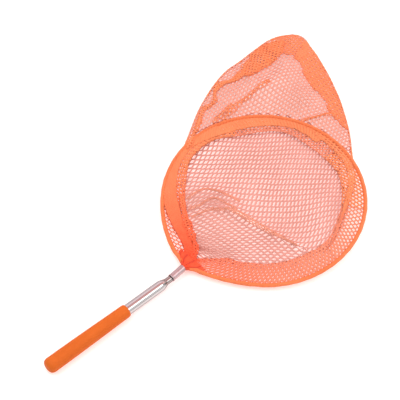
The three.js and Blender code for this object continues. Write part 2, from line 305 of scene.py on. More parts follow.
# Netting: six-sided meshes of twine in a row-and-column index space. Each mesh
# is 12 points on the twine's middle line and rings round its hole.
A = 2.0 / 3.0
_HEX = [(0, A), (-.25, .5), (-.5, 1 - A), (-.5, 0), (-.5, A - 1), (-.25, -.5),
        (0, -A), (.25, -.5), (.5, A - 1), (.5, 0), (.5, 1 - A), (.25, .5)]
HU, HV = (np.array([h[k] for h in _HEX]) for k in (0, 1))
KIND = np.array([-1, 0, 1, 0, -1, 0, 1, 0, -1, 0, 1, 0])     # the two sorts of joint, and the twine between
CORNER = np.array([1.34, 1, 1.34, 1, 1.34, 1] * 2)


def netting(uc, vc, place, width, thick, period=None, most=0.84, flat=0.72, lean=0.0, open=0.0):
    """Closed twine mesh for the meshes centred at (uc, vc); place gives points and normals.
    lean slants the meshes as drawn knitting does, and open pulls them from six-sided to diamonds."""
    U, V = uc[:, None] + HU, vc[:, None] + HV
    ku, kv = np.rint(U * 4).astype(np.int64), np.rint(V * 12).astype(np.int64)
    if period:
        ku %= int(period * 4)
    _, first, inv = np.unique((ku * 1000003 + kv).ravel(), return_index=True, return_inverse=True)
    B = inv.reshape(-1, 12)
    ub, vb = U.ravel()[first], V.ravel()[first]
    kind = np.tile(KIND, len(uc))[first]
    pb, nb = place(ub - kind * lean / 4, vb + kind * (lean / 6 - open))
    pc, _ = place(uc, vc)
    m, n = len(pb), len(uc)
    d = pc[:, None] - pb[B]
    ll = np.linalg.norm(d, axis=2) + 1e-9
    half = np.broadcast_to(width(pc) if callable(width) else width, (n,))[:, None] / 2
    f = np.minimum(half * CORNER / ll, most)
    up = nb[B] * (thick / 2)
    edge = pb[B] + d * f[..., None]
    sh = pb[B] + d * (f * flat)[..., None]
    v = np.concatenate([pb + nb * thick / 2, pb - nb * thick / 2,
                        (sh + up * 0.7).reshape(-1, 3), edge.reshape(-1, 3), (sh - up * 0.7).reshape(-1, 3)])
    o1 = 2 * m + np.arange(n * 12).reshape(n, 12)
    o2, o3 = o1 + 12 * n, o1 + 24 * n
    rings = [B, o1, o2, o3, B + m]
    q = []
    for a, b in zip(rings[:-1], rings[1:]):
        a2, b2 = np.roll(a, -1, 1), np.roll(b, -1, 1)
        q.append(np.stack([a, a2, b2, b], -1).reshape(-1, 4))
    B2 = np.roll(B, -1, 1)
    lo_, hi_ = np.minimum(B, B2).ravel(), np.maximum(B, B2).ravel()
    _, idx, cnt = np.unique(lo_ * (m + 1) + hi_, return_index=True, return_counts=True)
    e = idx[cnt == 1]
    p0, p1 = B.ravel()[e], B2.ravel()[e]
    q.append(np.stack([p1, p0, p0 + m, p1 + m], -1))
    return v, np.concatenate(q)


def with_normals(zfun, x, y):
    """Points on a height field, with its normals."""
    h = 0.4
    z = zfun(x, y)
    gx = (zfun(x + h, y) - zfun(x - h, y)) / (2 * h)
    gy = (zfun(x, y + h) - zfun(x, y - h)) / (2 * h)
    k = np.stack([-gx, -gy, np.ones_like(gx)], 1)
    return np.stack([x, y, z], 1), k / np.linalg.norm(k, axis=1)[:, None]


def join(parts):
    vs, qs, at = [], [], 0
    for v, q in parts:
        vs.append(v)
        qs.append(q + at)
        at += len(v)
    return np.concatenate(vs), np.concatenate(qs)


# ---------------------------------------------------------------- materials
class Look:
    """A small helper round one procedural material."""

    def __init__(self, name, **shader):
        self.m = bpy.data.materials.new(name)
        self.m.use_nodes = True
        self.t = self.m.node_tree
        self.s = next(n for n in self.t.nodes if n.type == "BSDF_PRINCIPLED")
        for k, v in shader.items():
            self.s.inputs[k.replace("_", " ")].default_value = v
        self.coord = self.t.nodes.new("ShaderNodeTexCoord").outputs["Object"]

    def node(self, kind, **inputs):
        n = self.t.nodes.new(kind)
        for k, v in inputs.items():
            i = n.inputs[k.replace("_", " ")]
            if isinstance(v, bpy.types.NodeSocket):
                self.t.links.new(v, i)
            else:
                i.default_value = v
        return n

    def uv(self):
        n = self.t.nodes.new("ShaderNodeUVMap")
        n.uv_map = "Surface"
        return n.outputs["UV"]

    def scaled(self, size, source=None):
        n = self.node("ShaderNodeMapping", Vector=source or self.coord)
        n.inputs["Scale"].default_value = size
        return n.outputs["Vector"]

    def noise(self, scale, detail=3.0, rough=0.55, vector=None, distortion=0.0):
        n = self.node("ShaderNodeTexNoise", Vector=vector or self.coord, Scale=scale, Detail=detail, Roughness=rough, Distortion=distortion)
        return n.outputs["Fac"]

    def ramp(self, fac, stops):
        n = self.node("ShaderNodeValToRGB", Fac=fac)
        el = n.color_ramp.elements
        while len(el) < len(stops):
            el.new(0.5)
        for e, (p, c) in zip(el, stops):
            e.position = p
            e.color = (*c, 1.0) if len(c) == 3 else c
        return n.outputs["Color"]

    def spread(self, fac, lo, hi):
        n = self.node("ShaderNodeMapRange", Value=fac)
        n.inputs["To Min"].default_value = lo
        n.inputs["To Max"].default_value = hi
        return n.outputs["Result"]

    def mix(self, fac, a, b, kind="MIX"):
        n = self.t.nodes.new("ShaderNodeMix")
        n.data_type = "RGBA"
        n.blend_type = kind
        for i, v in (("Factor_Float", fac), ("A_Color", a), ("B_Color", b)):
            s = next(x for x in n.inputs if x.identifier == i)
            if isinstance(v, bpy.types.NodeSocket):
                self.t.links.new(v, s)
            else:
                s.default_value = v if isinstance(v, float) else (*v, 1.0)
        return next(x for x in n.outputs if x.identifier == "Result_Color")

    def math(self, op, a, b=0.0):
        n = self.t.nodes.new("ShaderNodeMath")
        n.operation = op
        for k, v in ((0, a), (1, b)):
            if isinstance(v, bpy.types.NodeSocket):
                self.t.links.new(v, n.inputs[k])
            else:
                n.inputs[k].default_value = v
        return n.outputs[0]

    def bump(self, height, strength, distance, normal=None):
        n = self.node("ShaderNodeBump", Height=height, Strength=strength, Distance=distance)
        if normal is not None:
            self.t.links.new(normal, n.inputs["Normal"])
        return n.outputs["Normal"]

    def set(self, socket, out):
        self.t.links.new(out, self.s.inputs[socket])
        return self


def rubber():
    k = Look("grip_rubber", IOR=1.47, Specular_IOR_Level=0.28, Sheen_Weight=0.05, Sheen_Roughness=0.4, Sheen_Tint=(1.0, 0.7, 0.5, 1.0))
    broad, fine = k.noise(38, 3), k.noise(1400, 4, 0.7)
    col = k.ramp(broad, [(0.25, (0.61, 0.108, 0.0062)), (0.55, (0.665, 0.126, 0.008)), (0.8, (0.715, 0.145, 0.013))])
    dust = k.ramp(k.noise(420, 6, 0.7), [(0.5, (0, 0, 0)), (0.78, (1, 1, 1))])
    k.set("Base Color", k.mix(k.math("MULTIPLY", dust, 0.05), col, (0.95, 0.42, 0.16)))
    k.set("Roughness", k.spread(fine, 0.55, 0.78))
    pores = k.node("ShaderNodeTexVoronoi", Vector=k.coord, Scale=1500).outputs["Distance"]
    n1 = k.bump(pores, 0.12, 0.0002)
    k.set("Normal", k.bump(fine, 0.16, 0.0003, n1))
    return k.m


def chrome(name, tint=(0.57, 0.56, 0.56), lo=0.04, hi=0.13, neck=None):
    """Polished plated tube; past neck, an x in metres, the swaged end is drawn down and its base colour is darker."""
    # The low edge tint paints the tube's grazing edges darker: painted shade, for the shaded floor those edges reflect.
    k = Look(name, Metallic=1.0, Specular_Tint=(0.26, 0.24, 0.24, 1.0))
    along = k.scaled((25, 1600, 1600))
    streak = k.noise(1.0, 4, 0.6, along)
    haze = k.noise(60, 5, 0.65)
    col = k.ramp(haze, [(0.3, tuple(0.93 * c for c in tint)), (0.7, tint)])
    if neck:
        past = k.node("ShaderNodeMapRange", Value=k.node("ShaderNodeSeparateXYZ", Vector=k.coord).outputs["X"], From_Min=neck - 0.004, From_Max=neck)
        col = k.mix(past.outputs["Result"], col, k.ramp(haze, [(0.3, (0.34, 0.30, 0.29)), (0.7, (0.38, 0.335, 0.325))]))
    k.set("Base Color", col)
    scratch = k.ramp(k.noise(1.0, 2, 0.5, k.scaled((60, 5200, 5200))), [(0.60, (0, 0, 0)), (0.72, (1, 1, 1))])
    rough = k.math("ADD", k.spread(haze, lo, hi), k.math("MULTIPLY", scratch, 0.07))
    k.set("Roughness", rough)
    k.set("Normal", k.bump(streak, 0.03, 0.0001))
    return k.m


def satin(name, tint, lo, hi, metal=1.0):
    k = Look(name, Metallic=metal)
    ring = k.noise(1.0, 5, 0.7, k.scaled((5200, 260, 260)))
    haze = k.noise(90, 5, 0.6)
    k.set("Base Color", k.ramp(haze, [(0.3, tuple(0.9 * c for c in tint)), (0.72, tint)]))
    k.set("Roughness", k.spread(ring, lo, hi))
    k.set("Normal", k.bump(ring, 0.10, 0.0001))
    return k.m


def plastic(name, dark, light, lo=0.38, hi=0.6):
    k = Look(name, IOR=1.5)
    k.set("Base Color", k.ramp(k.noise(120, 4), [(0.3, dark), (0.7, light)]))
    k.set("Roughness", k.spread(k.noise(900, 4, 0.6), lo, hi))
    k.set("Normal", k.bump(k.noise(2600, 3), 0.1, 0.0001))
    return k.m


def cloth(name, deep, mid, light, weave=True, glow=0.0, knot=None, red=1.0, shaded_pleats=0):
    """Bright dyed polyester: fine fibre along the twine and slow changes of shade; round the point knot, where it is
    packed tight, a redder, darker colour, partly the packed layers' fuller colour and partly painted shade;
    shaded_pleats paints shade into the creases."""
    k = Look(name, IOR=1.46, Sheen_Weight=0.25, Sheen_Roughness=0.4, Sheen_Tint=(1.0, 0.62, 0.42, 1.0),
             Subsurface_Weight=glow, Subsurface_Radius=(1.0, 0.5, 0.36), Subsurface_Scale=0.003)
    broad = k.noise(30, 4, 0.6)
    fibre = k.noise(2300, 3, 0.6)
    col = k.ramp(broad, [(0.25, deep), (0.5, mid), (0.75, light)])
    col = k.mix(k.spread(fibre, 0.0, 0.35), col, deep, "MIX")
    # Round the knot a redder, darker colour is mixed in: partly the packed layers' fuller colour, partly painted shade.
    if knot:
        far = k.t.nodes.new("ShaderNodeVectorMath")
        far.operation = "DISTANCE"
        k.t.links.new(k.coord, far.inputs[0])
        far.inputs[1].default_value = knot
        near = k.ramp(k.math("MULTIPLY", far.outputs["Value"], 7.14), [(0.085, (0.92, 0.92, 0.92)), (0.25, (0.7, 0.7, 0.7)), (0.54, (0.35, 0.35, 0.35)), (0.93, (0.0, 0.0, 0.0))])
        col = k.mix(k.math("MULTIPLY", near, k.spread(k.noise(160, 3), 0.75 * red, 1.2 * red)), col, (0.92, 0.068, 0.016))
    # Painted shade: dark bands in the creases between the pleats.
    if shaded_pleats:
        fan = k.node("ShaderNodeTexWave", Vector=k.uv(), Scale=shaded_pleats * 0.314, Distortion=2.2, Detail=2.0, Detail_Scale=1.5)
        fan.wave_type = "BANDS"
        fan.bands_direction = "Y"
        col = k.mix(k.ramp(fan.outputs["Fac"], [(0.03, (0.75, 0.75, 0.75)), (0.3, (0, 0, 0))]), col, (0.50, 0.022, 0.006))
    k.set("Base Color", col)
    k.set("Roughness", k.spread(fibre, 0.48, 0.78))
    if weave:
        ribs = k.node("ShaderNodeTexWave", Vector=k.scaled((1, 46, 1), k.uv()), Scale=0.55, Distortion=0.6, Detail=1.5, Detail_Scale=3.0)
        ribs.wave_type = "BANDS"
        ribs.bands_direction = "DIAGONAL"
        k.set("Normal", k.bump(ribs.outputs["Fac"], 0.5, 0.00025, k.bump(fibre, 0.25, 0.0002)))
    else:
        k.set("Normal", k.bump(fibre, 0.35, 0.00025))
    return k.m


RUBBER = rubber()
CHROME = chrome("polished_tube", neck=(OX + 138.5) / 1000)
INNER = chrome("inner_tube", (0.46, 0.46, 0.465), 0.10, 0.2)
FERRULE = satin("ferrule_alloy", (0.54, 0.415, 0.425), 0.27, 0.42)
CORE = satin("core_alloy", (0.56, 0.56, 0.57), 0.38, 0.55)
WIRE = satin("hoop_steel", (0.66, 0.66, 0.68), 0.24, 0.4)
BRASS = satin("shim_brass", (0.78, 0.55, 0.22), 0.25, 0.42)
PLUG = plastic("plug_plastic", (0.018, 0.018, 0.020), (0.035, 0.035, 0.038))
BUSH = plastic("bush_nylon", (0.74, 0.71, 0.62), (0.82, 0.80, 0.73), 0.42, 0.6)
POINT = tuple(from_head([[22.0, 0.0, 0.0]])[0] / 1000.0)
BINDING = cloth("binding_cloth", (0.87, 0.190, 0.055), (0.92, 0.22, 0.068), (0.95, 0.25, 0.085))
# The netting is one orange twine. net_twine is painted lighter and pinker than the doubled and gathered copies: painted
# light, for light shining through thin single twine.
NET = cloth("net_twine", (0.62, 0.258, 0.209), (0.675, 0.298, 0.246), (0.725, 0.339, 0.285), weave=False)
# The bag's upper side has the same twine, painted lighter still: painted light against the shade between the bag's two
# sides.
NET_UP = cloth("net_twine_painted_lighter", (0.72, 0.295, 0.218), (0.785, 0.342, 0.262), (0.835, 0.385, 0.303), weave=False)
NET_FOLD = cloth("net_folded", (0.82, 0.196, 0.072), (0.875, 0.23, 0.091), (0.91, 0.26, 0.112), weave=False)
NET_SLACK = cloth("net_slack", (0.74, 0.275, 0.175), (0.80, 0.315, 0.205), (0.85, 0.36, 0.24), weave=False)
NET_HEM = cloth("net_doubled", (0.76, 0.218, 0.116), (0.82, 0.254, 0.145), (0.86, 0.29, 0.172), weave=False, knot=POINT, red=0.42)
NET_DENSE = cloth("net_gathered", (0.85, 0.225, 0.082), (0.905, 0.265, 0.104), (0.94, 0.30, 0.128), weave=False, knot=POINT)
THROAT = cloth("net_drawn_in", (0.80, 0.175, 0.055), (0.86, 0.20, 0.068), (0.90, 0.23, 0.085), knot=POINT, shaded_pleats=11)
THREAD = cloth("sewing_thread", (0.78, 0.12, 0.03), (0.86, 0.15, 0.04), (0.92, 0.19, 0.06), weave=False)

for node, look in (("tube_end_plug", PLUG), ("guide_bush", BUSH), ("ferrule_core", CORE),
                   *[(f"friction_shim_{n}{s}", BRASS) for n in "345" for s in "ab"]):
    o = NODES[node]
    o.data.materials.clear()
    o.data.materials.append(look)

# ------------------------------------------------------------------- handle
butt = [(3.1 + 4.4 * math.sin(a), 4.9 * (1 - math.cos(a))) for a in np.linspace(0, math.pi / 2, 24)]
body = catmull([(7.5, 4.9), (7.42, 24), (7.1, 50), (6.75, 72), (6.45, 90.2)], 4.0)[1:-1].tolist()
top = [(6.45 - 0.85 * (1 - math.cos(a)), 90.2 + 2.6 * math.sin(a)) for a in np.linspace(0, math.pi / 2, 14)]
v, q = lathe([(0.02, 0), (1.6, 0), *butt, *body, *top, (5.45, 92.8), (5.37, 92.7), (5.37, 4.0), (0.02, 4.0)], 96)
piece("grip_sleeve", from_handle(v), q, RUBBER, "handle", "grip", sharp=50)

neck = catmull([(5.25, 131.6), (5.24, 132.8), (5.0, 134.2), (4.15, 137.2), (3.4, 139.1), (3.2, 140.2), (3.2, 141.6)], 0.35).tolist()
v, q = lathe([(5.25, 6.0), (5.25, 40), (5.25, 90), *neck, (3.2, 144.6), (3.17, 144.8), (3.08, 144.97), (2.98, 145.0),
              (2.92, 144.9), (2.92, 140.1), (3.02, 139.2), (3.75, 137.1), (4.5, 134.1), (4.75, 132.6), (4.75, 6.0)], 128)
piece("outer_tube", from_handle(v), q, CHROME, "handle", "tube_1", sharp=45)


def section(ro, ri, mouth, x0, x1, foot, bead_r, sleeve):
    b = x0 + 0.8 + 0.2 + sleeve + 0.2
    outer = [(foot, x0), (foot, x0 + .8), (ro, x0 + .8), (ro, b), (bead_r, b + .1), (bead_r, b + .8),
             (ro, b + .95), (ro, x1 - 1.2), (ro - .04, x1 - .5), (ro - .1, x1)]
    inner = [(ri, x0), (ri, x1 - 2.0), (mouth, x1 - 1.2), (mouth, x1)] if mouth < ri else [(ri, x0), (ri, x1)]
    return lathe(soften(outer + inner[::-1], 0.07, 2), 64)


for name, node, bd, args in (
        ("second_section", "tube_2", "section_2", (2.80, 2.48, 2.30, 11.0, 145.6, 3.6, 3.4, 8.0)),
        ("third_section", "tube_3", "section_3", (2.18, 1.88, 1.72, 13.0, 146.2, 2.38, 2.38, 7.0)),
        ("fourth_section", "tube_4", "section_4", (1.60, 1.32, 1.17, 15.0, 146.8, 1.79, 1.79, 7.0)),
        ("fifth_section", "tube_5", "head", (1.05, 0.75, 0.75, 17.0, 153.0, 1.235, 1.235, 7.0))):
    v, q = section(*args)
    piece(name, from_handle(v), q, INNER, bd, node, sharp=45)

v, q = lathe([*soften([(3.8, 0.9), (3.95, 1.2), (3.95, 1.8), (3.7, 2.3), (3.7, 16.4), (3.5, 16.9), (3.2, 16.9), (3.2, 0.9)], 0.14, 3)], 96)
piece("ferrule_sleeve", from_head(v), q, FERRULE, "head", "ferrule", sharp=50)

# --------------------------------------------------------------------- hoop
POINT_LEFT = [(5.5, 105.2), (10, 104.6), (17.5, 102.4), (25, 100.5), (33, 98.9), (42, 97.7), (54, 97.0), (66, 96.8), (78, 97.0), (92, 97.6)]
POINT_RIGHT = [(5.5, 104.3), (10, 102.8), (17.5, 100.4), (25, 98.9), (33, 98.1)]


def half_rim(point, from_deg):
    half = [(-117.4, 1.42), (-113.5, 1.42), (-110.6, 1.42), (-108.9, 1.75), (-107.6, 2.9), (-106.6, 5.0)]
    half += [(-r * math.cos(math.radians(d)), r * math.sin(math.radians(d))) for d, r in point]
    return half + [(-98 * math.cos(math.radians(d)), 98 * math.sin(math.radians(d))) for d in np.arange(from_deg, 179.0, 3.0)]


full = np.array(half_rim(POINT_LEFT, 104) + [(98.0, 0.0)] + [(u, -w) for u, w in half_rim(POINT_RIGHT, 44)[::-1]])
rim = catmull(full, 0.9)
rim = np.column_stack([rim[:, 0] + HOOP_S, rim[:, 1], np.zeros(len(rim))])
v, q, tri, uv = sweep(spaced(rim, 1.6), 1.2, 1.2, 16)
piece("hoop_spring_wire", from_head(v), q, WIRE, "head", "hoop_wire", uv=uv, tris=tri)

u_ = rim[:, 0] - HOOP_S
first = int(np.argmax((u_ > -106.9) & (rim[:, 1] > 4.3)))
last = len(rim) - int(np.argmax(((u_ > -106.9) & (rim[:, 1] < -4.3))[::-1]))
bound = spaced(rim[first:last], 0.85)
along = np.concatenate([[0], np.cumsum(np.linalg.norm(np.diff(bound, axis=0), axis=1))])
SEG = 24
ang = np.arange(SEG) / SEG * 2 * np.pi
pull = 0.09 * np.sin(along[:, None] / 1.9 + ang) + 0.05 * np.sin(along[:, None] / 3.7 - 2 * ang + 1.0)
v, q, tri, uv = sweep(bound, 1.98 + pull, 1.98 + pull, SEG)
piece("rim_sleeve", from_head(v), q, BINDING, "head", "rim_binding", uv=uv, tris=tri, sharp=0)

# Overlock stitches that close the sleeve on the inside of the rim.
parts = []
stitch_at = np.arange(2.0, along[-1] - 2.0, 3.4)
for k, s in enumerate(stitch_at):
    i = int(np.searchsorted(along, s))
    t = bound[min(i + 1, len(bound) - 1)] - bound[i - 1]
    t /= np.linalg.norm(t)
    inward = np.cross([0, 0, 1.0], t)
    if inward @ (np.array([HOOP_S, 0, 0]) - bound[i]) < 0:
        inward = -inward
    pts = []
    for w in np.linspace(-1, 1, 7):
        a = 0.35 + 0.95 * w
        lift = 2.06 + 0.12 * (1 - w * w)
        pts.append(bound[i] + t * (1.25 * w) + inward * (lift * math.cos(a)) + np.array([0, 0, lift * math.sin(a)]))
    v, q, tri, _ = sweep(np.array(pts), 0.19, 0.19, 6)
    parts.append((v, q, tri))
vs, qs, ts, at = [], [], [], 0
for v, q, t in parts:
    vs.append(v); qs.append(q + at); ts.append(t + at); at += len(v)
piece("rim_stitching", from_head(np.concatenate(vs)), np.concatenate(qs), THREAD, "head", tris=np.concatenate(ts))

# ---------------------------------------------------------------- bag: plan
OUT = [(-80.5, 55), (-76.3, 66.6), (-70.4, 84.8), (-64.0, 105.2), (-57.4, 121.1), (-47.1, 141.3), (-33.6, 160.5), (-19.2, 173.4),
       (-4.0, 188.1), (9.7, 199.8), (24.1, 206.2), (37.6, 207.5), (46.0, 203.0), (52.5, 191.0), (59.7, 177.9),
       (66.5, 161.2), (73.6, 141.8), (79.6, 121.7), (83.9, 100.4), (87.0, 79.4), (87.8, 62), (88.4, 50)]
OUTLINE = spaced(catmull(OUT, 2.0), 2.5)


def rim_r(th):
    d = (np.asarray(th, float) - 225.7 + 180) % 360 - 180
    left, right = ([(0, 105.4), *p, (e, 98.0), (180, 98.0)] for p, e in ((POINT_LEFT, 104), (POINT_RIGHT, 42)))
    return np.where(d < 0, np.interp(-d, *zip(*left)), np.interp(d, *zip(*right)))


def polar(r, deg):
    a = np.radians(deg)
    return np.stack([r * np.cos(a), r * np.sin(a)], -1)


HEM_IN = ring_table([(0, 76), (14, 78.5), (23, 80), (31, 79), (40, 78.5), (47, 78.5), (58, 80), (71, 83.5), (81, 84), (93, 81), (107, 79.5), (115, 82.5),
                     (122, 85.5), (135, 86), (147, 85), (162, 78.5), (175, 76), (185, 75.5), (198, 75.5), (210, 78), (218, 82), (223, 90), (226, 94),
                     (229, 88), (235, 79), (244, 74), (262, 72.5), (278, 72), (293, 72), (306, 72.5), (319, 75), (328, 75), (340, 73.5), (351, 75)], 2.0)


def in_rim(table):
    return lambda th: np.minimum(table(th), rim_r(th) - 1.2)


BAND_OUT = in_rim(ring_table([(0, 84.5), (7, 86), (12, 88), (23, 91), (30, 93.5), (45, 95.5), (60, 96.5), (90, 96.8), (178, 96.8), (184, 96), (191, 94.5),
                              (199, 93), (208, 92), (215, 93.5), (222, 100), (226, 102.5), (230, 97), (238, 90), (300, 84.5), (316, 85.5), (329, 85.5), (342, 83.5), (356, 84)], 2.0))
LOW_EDGE = in_rim(ring_table([(0, 82), (20, 84), (33, 96), (60, 96), (143, 96), (150, 88), (162, 86), (180, 84), (200, 85), (214, 88), (222, 93),
                              (226, 96), (232, 87), (245, 79.5), (265, 77), (290, 77), (302, 79), (310, 80.5), (318, 80.5), (330, 81), (345, 82)], 3.0))

# The lower panel: one sheet whose netting runs differently on the two sides of a slack crease.
turns = np.arange(146.0, 391.0, 1.5)
edge_r = np.array([polar(LOW_EDGE(d), d) for d in turns])
i_left, i_right = int(np.argmin(np.abs(turns - 187))), int(np.argmin(np.abs(turns - 308.5)))
SEAM = spaced(catmull([edge_r[i_left], (-74.9, -10.0), (-59.4, -9.8), (-44.6, -11.5), (-33.7, -13.1), (-20.4, -19.9), (-4.5, -31.3), (10.1, -41.1),
                       (31.0, -54.2), (45.0, -61.6), edge_r[i_right]], 2.0), 2.0)
under_rim = np.arange(31.5, 146.0, 1.5)          # where the lower panel passes under the far side of the rim
lap = np.stack([np.zeros(len(SEAM)), 1.0 + 1.7 * smooth(28, 44, SEAM[:, 0])], 1)
FAR_RUN = np.concatenate([edge_r[:i_left], SEAM - lap, edge_r[i_right + 1:], polar(97.3, under_rim)])
NEAR_RUN = np.concatenate([edge_r[i_left:i_right], (SEAM + lap)[::-1]])
BAG_RUN = np.concatenate([OUTLINE[::-1], polar(96.3, under_rim[::-1])])

LEFT_FOLD = [(-74.4, 57), (-67.6, 74.9), (-62.7, 89.7), (-59.7, 103.4), (-56.7, 109.6), (-50.6, 112.1), (-46.8, 117.2), (-46.5, 127.3),
             (-45.5, 133.6), (-42.6, 138.6), (-36.3, 141.6), (-27.2, 142.6), (-20.0, 151.6), (-13.7, 165), (-9.5, 171.1)]
FOLD_LINE = spaced(catmull(LEFT_FOLD, 1.5), 2.0)
UP_EDGE = OUTLINE[4:-4]
rim_back = np.array([polar(rim_r(d) + 0.6, d) for d in np.arange(34.0, 143.0, 1.5)])
UP_DOMAIN = np.concatenate([UP_EDGE, rim_back])

CREASE = spaced(catmull([(-52, -10.3), (-44.6, -11.5), (-33.7, -13.1), (-20.4, -19.9), (-4.5, -31.3), (10.1, -41.1), (31.0, -54.2), (42, -60)], 2.0), 2.0)
CREST = spaced(catmull([(-77, 1.0), (-63.5, 5.7), (-49.9, 9.9), (-39.1, 4.0), (-28.3, -6.6), (-17.7, -18.6)], 2.0), 2.0)
w_long, w_mid, w_x, w_y = Waves(3, 90, 45), Waves(4, 38, 20), Waves(5, 110, 55), Waves(6, 110, 55)


def ridge(x, y, line, high, wide, ends=14.0):
    d, _, at, _ = to_line(np.stack([x, y], 1), line)
    total = np.linalg.norm(np.diff(line, axis=0), axis=1).sum()
    fade = smooth(0, ends, at) * smooth(0, ends, total - at)
    return high * np.exp(-(d / wide) ** 2) * fade


def z_low(x, y):
    r, th = np.hypot(x, y), np.degrees(np.arctan2(y, x)) % 360
    near = smooth(25, -20, y)
    z = 0.95 + 0.28 * w_long(x, y) + 0.16 * w_mid(x, y)
    z = np.maximum(z, 0.62) + 2.8 * smooth(92, 56, r)
    z = z + near * 4.4 * np.exp(-(np.maximum(rim_r(th) - 2.5 - r, 0) / 6.5) ** 2)
    z = z + ridge(x, y, CREASE, 3.6, 4.6) + ridge(x, y, CREST, 2.6, 6.0)
    return z + 3.0 * np.exp(-(((x + 52) / 22) ** 2 + ((y - 2) / 14) ** 2))


def z_up(x, y):
    p = np.stack([x, y], 1)
    d = to_line(p, UP_EDGE)[0]
    d = np.where(inside(p, UP_DOMAIN), d, 0.0)
    puff = 13.0 * np.sin(np.pi / 2 * np.clip(d / 55, 0, 1)) + 0.9 * smooth(0, 25, d) * w_mid(x, y)
    out = np.hypot(x, y) - 99.0
    z = 2.7 + puff
    z = z + (8.3 - z) * (1 - smooth(0, 34, out))
    return z + ridge(x, y, DIAG, 2.0, 3.4, 10) + ridge(x, y, DIAG_2, 1.4, 3.0, 8) + ridge(x, y, RIGHT_FOLD, 2.0, 3.0, 8)


DIAG = spaced(catmull([(-38.8, 91.6), (-25.8, 107.8), (-13.6, 117.8), (-0.4, 129.2), (9, 137)], 2.0), 2.0)
DIAG_2 = spaced(catmull([(-48.8, 89.4), (-38.8, 99.3), (-28.7, 110.6)], 2.0), 2.0)
RIGHT_FOLD = spaced(catmull([(38.6, 91), (53.7, 94.5), (68.9, 99.1), (81.9, 101.6)], 2.0), 2.0)


def snap(x, y, domain):
    """Brings plan points that fall outside a panel onto its edge; at the seam the two runs mesh past each other."""
    p = np.stack([x, y], 1)
    out = ~inside(p, domain)
    out &= to_line(p, SEAM)[0] > 3.4
    if out.any():
        p[out] = to_line(p[out], domain, True)[1]
    return p[:, 0], p[:, 1]


def panel(domain, plan, zfun, rows, cols, width, thick, keep=1.0, lean=0.0, open=0.0):
    """Netting over a plan domain: plan maps (column, row) to plan points."""
    j, i = np.meshgrid(np.arange(*rows), np.arange(*cols), indexing="ij")
    uc, vc = (i + 0.5 * (j % 2)).ravel().astype(float), j.ravel().astype(float)
    x, y = plan(uc, vc)
    p = np.stack([x, y], 1)
    ok = inside(p, domain)
    uc, vc, p = uc[ok], vc[ok], p[ok]
    ok = to_line(p, domain, True)[0] > keep
    uc, vc = uc[ok], vc[ok]

    def place(u, v):
        return with_normals(zfun, *snap(*plan(u, v), domain))

    return netting(uc, vc, place, width, thick, lean=lean, open=open)


# ------------------------------------------------------- bag: lower panel
ys = [-90.0]                                     # rows of the far run, closer together toward the crease
while ys[-1] < 222:
    ys.append(ys[-1] + float(4.0 + 1.75 * smooth(-60, 0, ys[-1])))
ys = np.array(ys)
ROWS = len(ys)
row_0 = float(np.interp(30.0, ys, np.arange(ROWS)))
grid_x = np.arange(-260.0, 261.0, 1.0)           # columns, closer together toward the right
grid_w = np.concatenate([[0], np.cumsum(1 / (4.25 - 0.8 * smooth(-50, 40, grid_x[:-1] + 0.5)))])
grid_w -= np.interp(0.0, grid_x, grid_w)


def far_plan(u, v):
    y0 = np.interp(v, np.arange(ROWS), ys)
    x = np.interp(u + 0.82 * (v - row_0), grid_w, grid_x)
    x = x + (y0 - 30) * np.interp(x, [-90, -10, 60, 90], [0.05, 0.0, -0.08, -0.09]) * (1 - smooth(60, 120, y0))
    seam = np.interp(x, SEAM[:, 0], SEAM[:, 1])
    above = y0 - seam
    y = y0 + 0.00074 * np.minimum(x * x, 9000) + 10 * np.exp(-((x + 50) / 25) ** 2) * smooth(20, -18, above)
    y = y + 0.35 * np.minimum(seam + 11, 0) * np.exp(-np.maximum(above, 0) / 30) * smooth(82, 40, x)
    return x + 0.9 * w_x(x, y), y + 1.0 * w_y(x, y)


def near_plan(u, v):
    x, y0 = 6.8 * u, 3.0 * v
    hang = 0.0005 + 0.0041 * smooth(-50, -80, y0)
    y = y0 + hang * np.minimum((x - 7) ** 2, 9000) - 0.5 * 9 * np.logaddexp(0, -(x + 43) / 9) * smooth(-58, -28, y0)
    return x + 0.9 * w_x(x, y), y + 0.8 * w_y(x, y)


def turned_plan(pitch_u, pitch_v, turn, shear, cx=0.0, cy=0.0, wavy=1.0):
    c, s = math.cos(math.radians(turn)), math.sin(math.radians(turn))

    def plan(u, v):
        a, b = pitch_u * (u + shear * v), pitch_v * v
        x, y = cx + a * c - b * s, cy + a * s + b * c
        return x + wavy * w_x(x + 31, y - 17), y + wavy * w_y(x - 23, y + 41)

    return plan


up_plan = turned_plan(4.65, 3.55, 25, 0.205, 10, 60)


def under_plan(u, v):
    """The bag's lower side has the same run of meshes as its upper side, which has slid back a little over it."""
    x, y = up_plan(u, v)
    slid = (z_up(x, y) - 1.2) / 1322
    return x + (x + 61) * slid, y + (y + 897) * slid


TW, TT = 1.3, 1.05


def under_hem(p):
    """From 0 in the open mouth to 1 under the hem."""
    return smooth(-1.5, 4.0, np.hypot(p[:, 0], p[:, 1]) - HEM_IN(np.degrees(np.arctan2(p[:, 1], p[:, 0]))))


def at_seam(p):
    return 1 - smooth(1.5, 5.0, to_line(p[:, :2], SEAM)[0])


def at_slack(p):
    return np.exp(-((p[:, 0] + 50) / 26) ** 2 - ((p[:, 1] + 10) / 24) ** 2)


def far_twine(p):
    """Twine looks fuller where the netting lies slack, and finer where it is stretched or goes under the hem."""
    return 2.25 - 0.3 * smooth(-10, -50, p[:, 0]) * smooth(0, 40, p[:, 1]) + 0.4 * at_slack(p) - 1.0 * under_hem(p) - 0.4 * at_seam(p)


def near_twine(p):
    return 2.12 + 0.35 * at_slack(p) - 1.0 * under_hem(p) - 0.4 * at_seam(p)


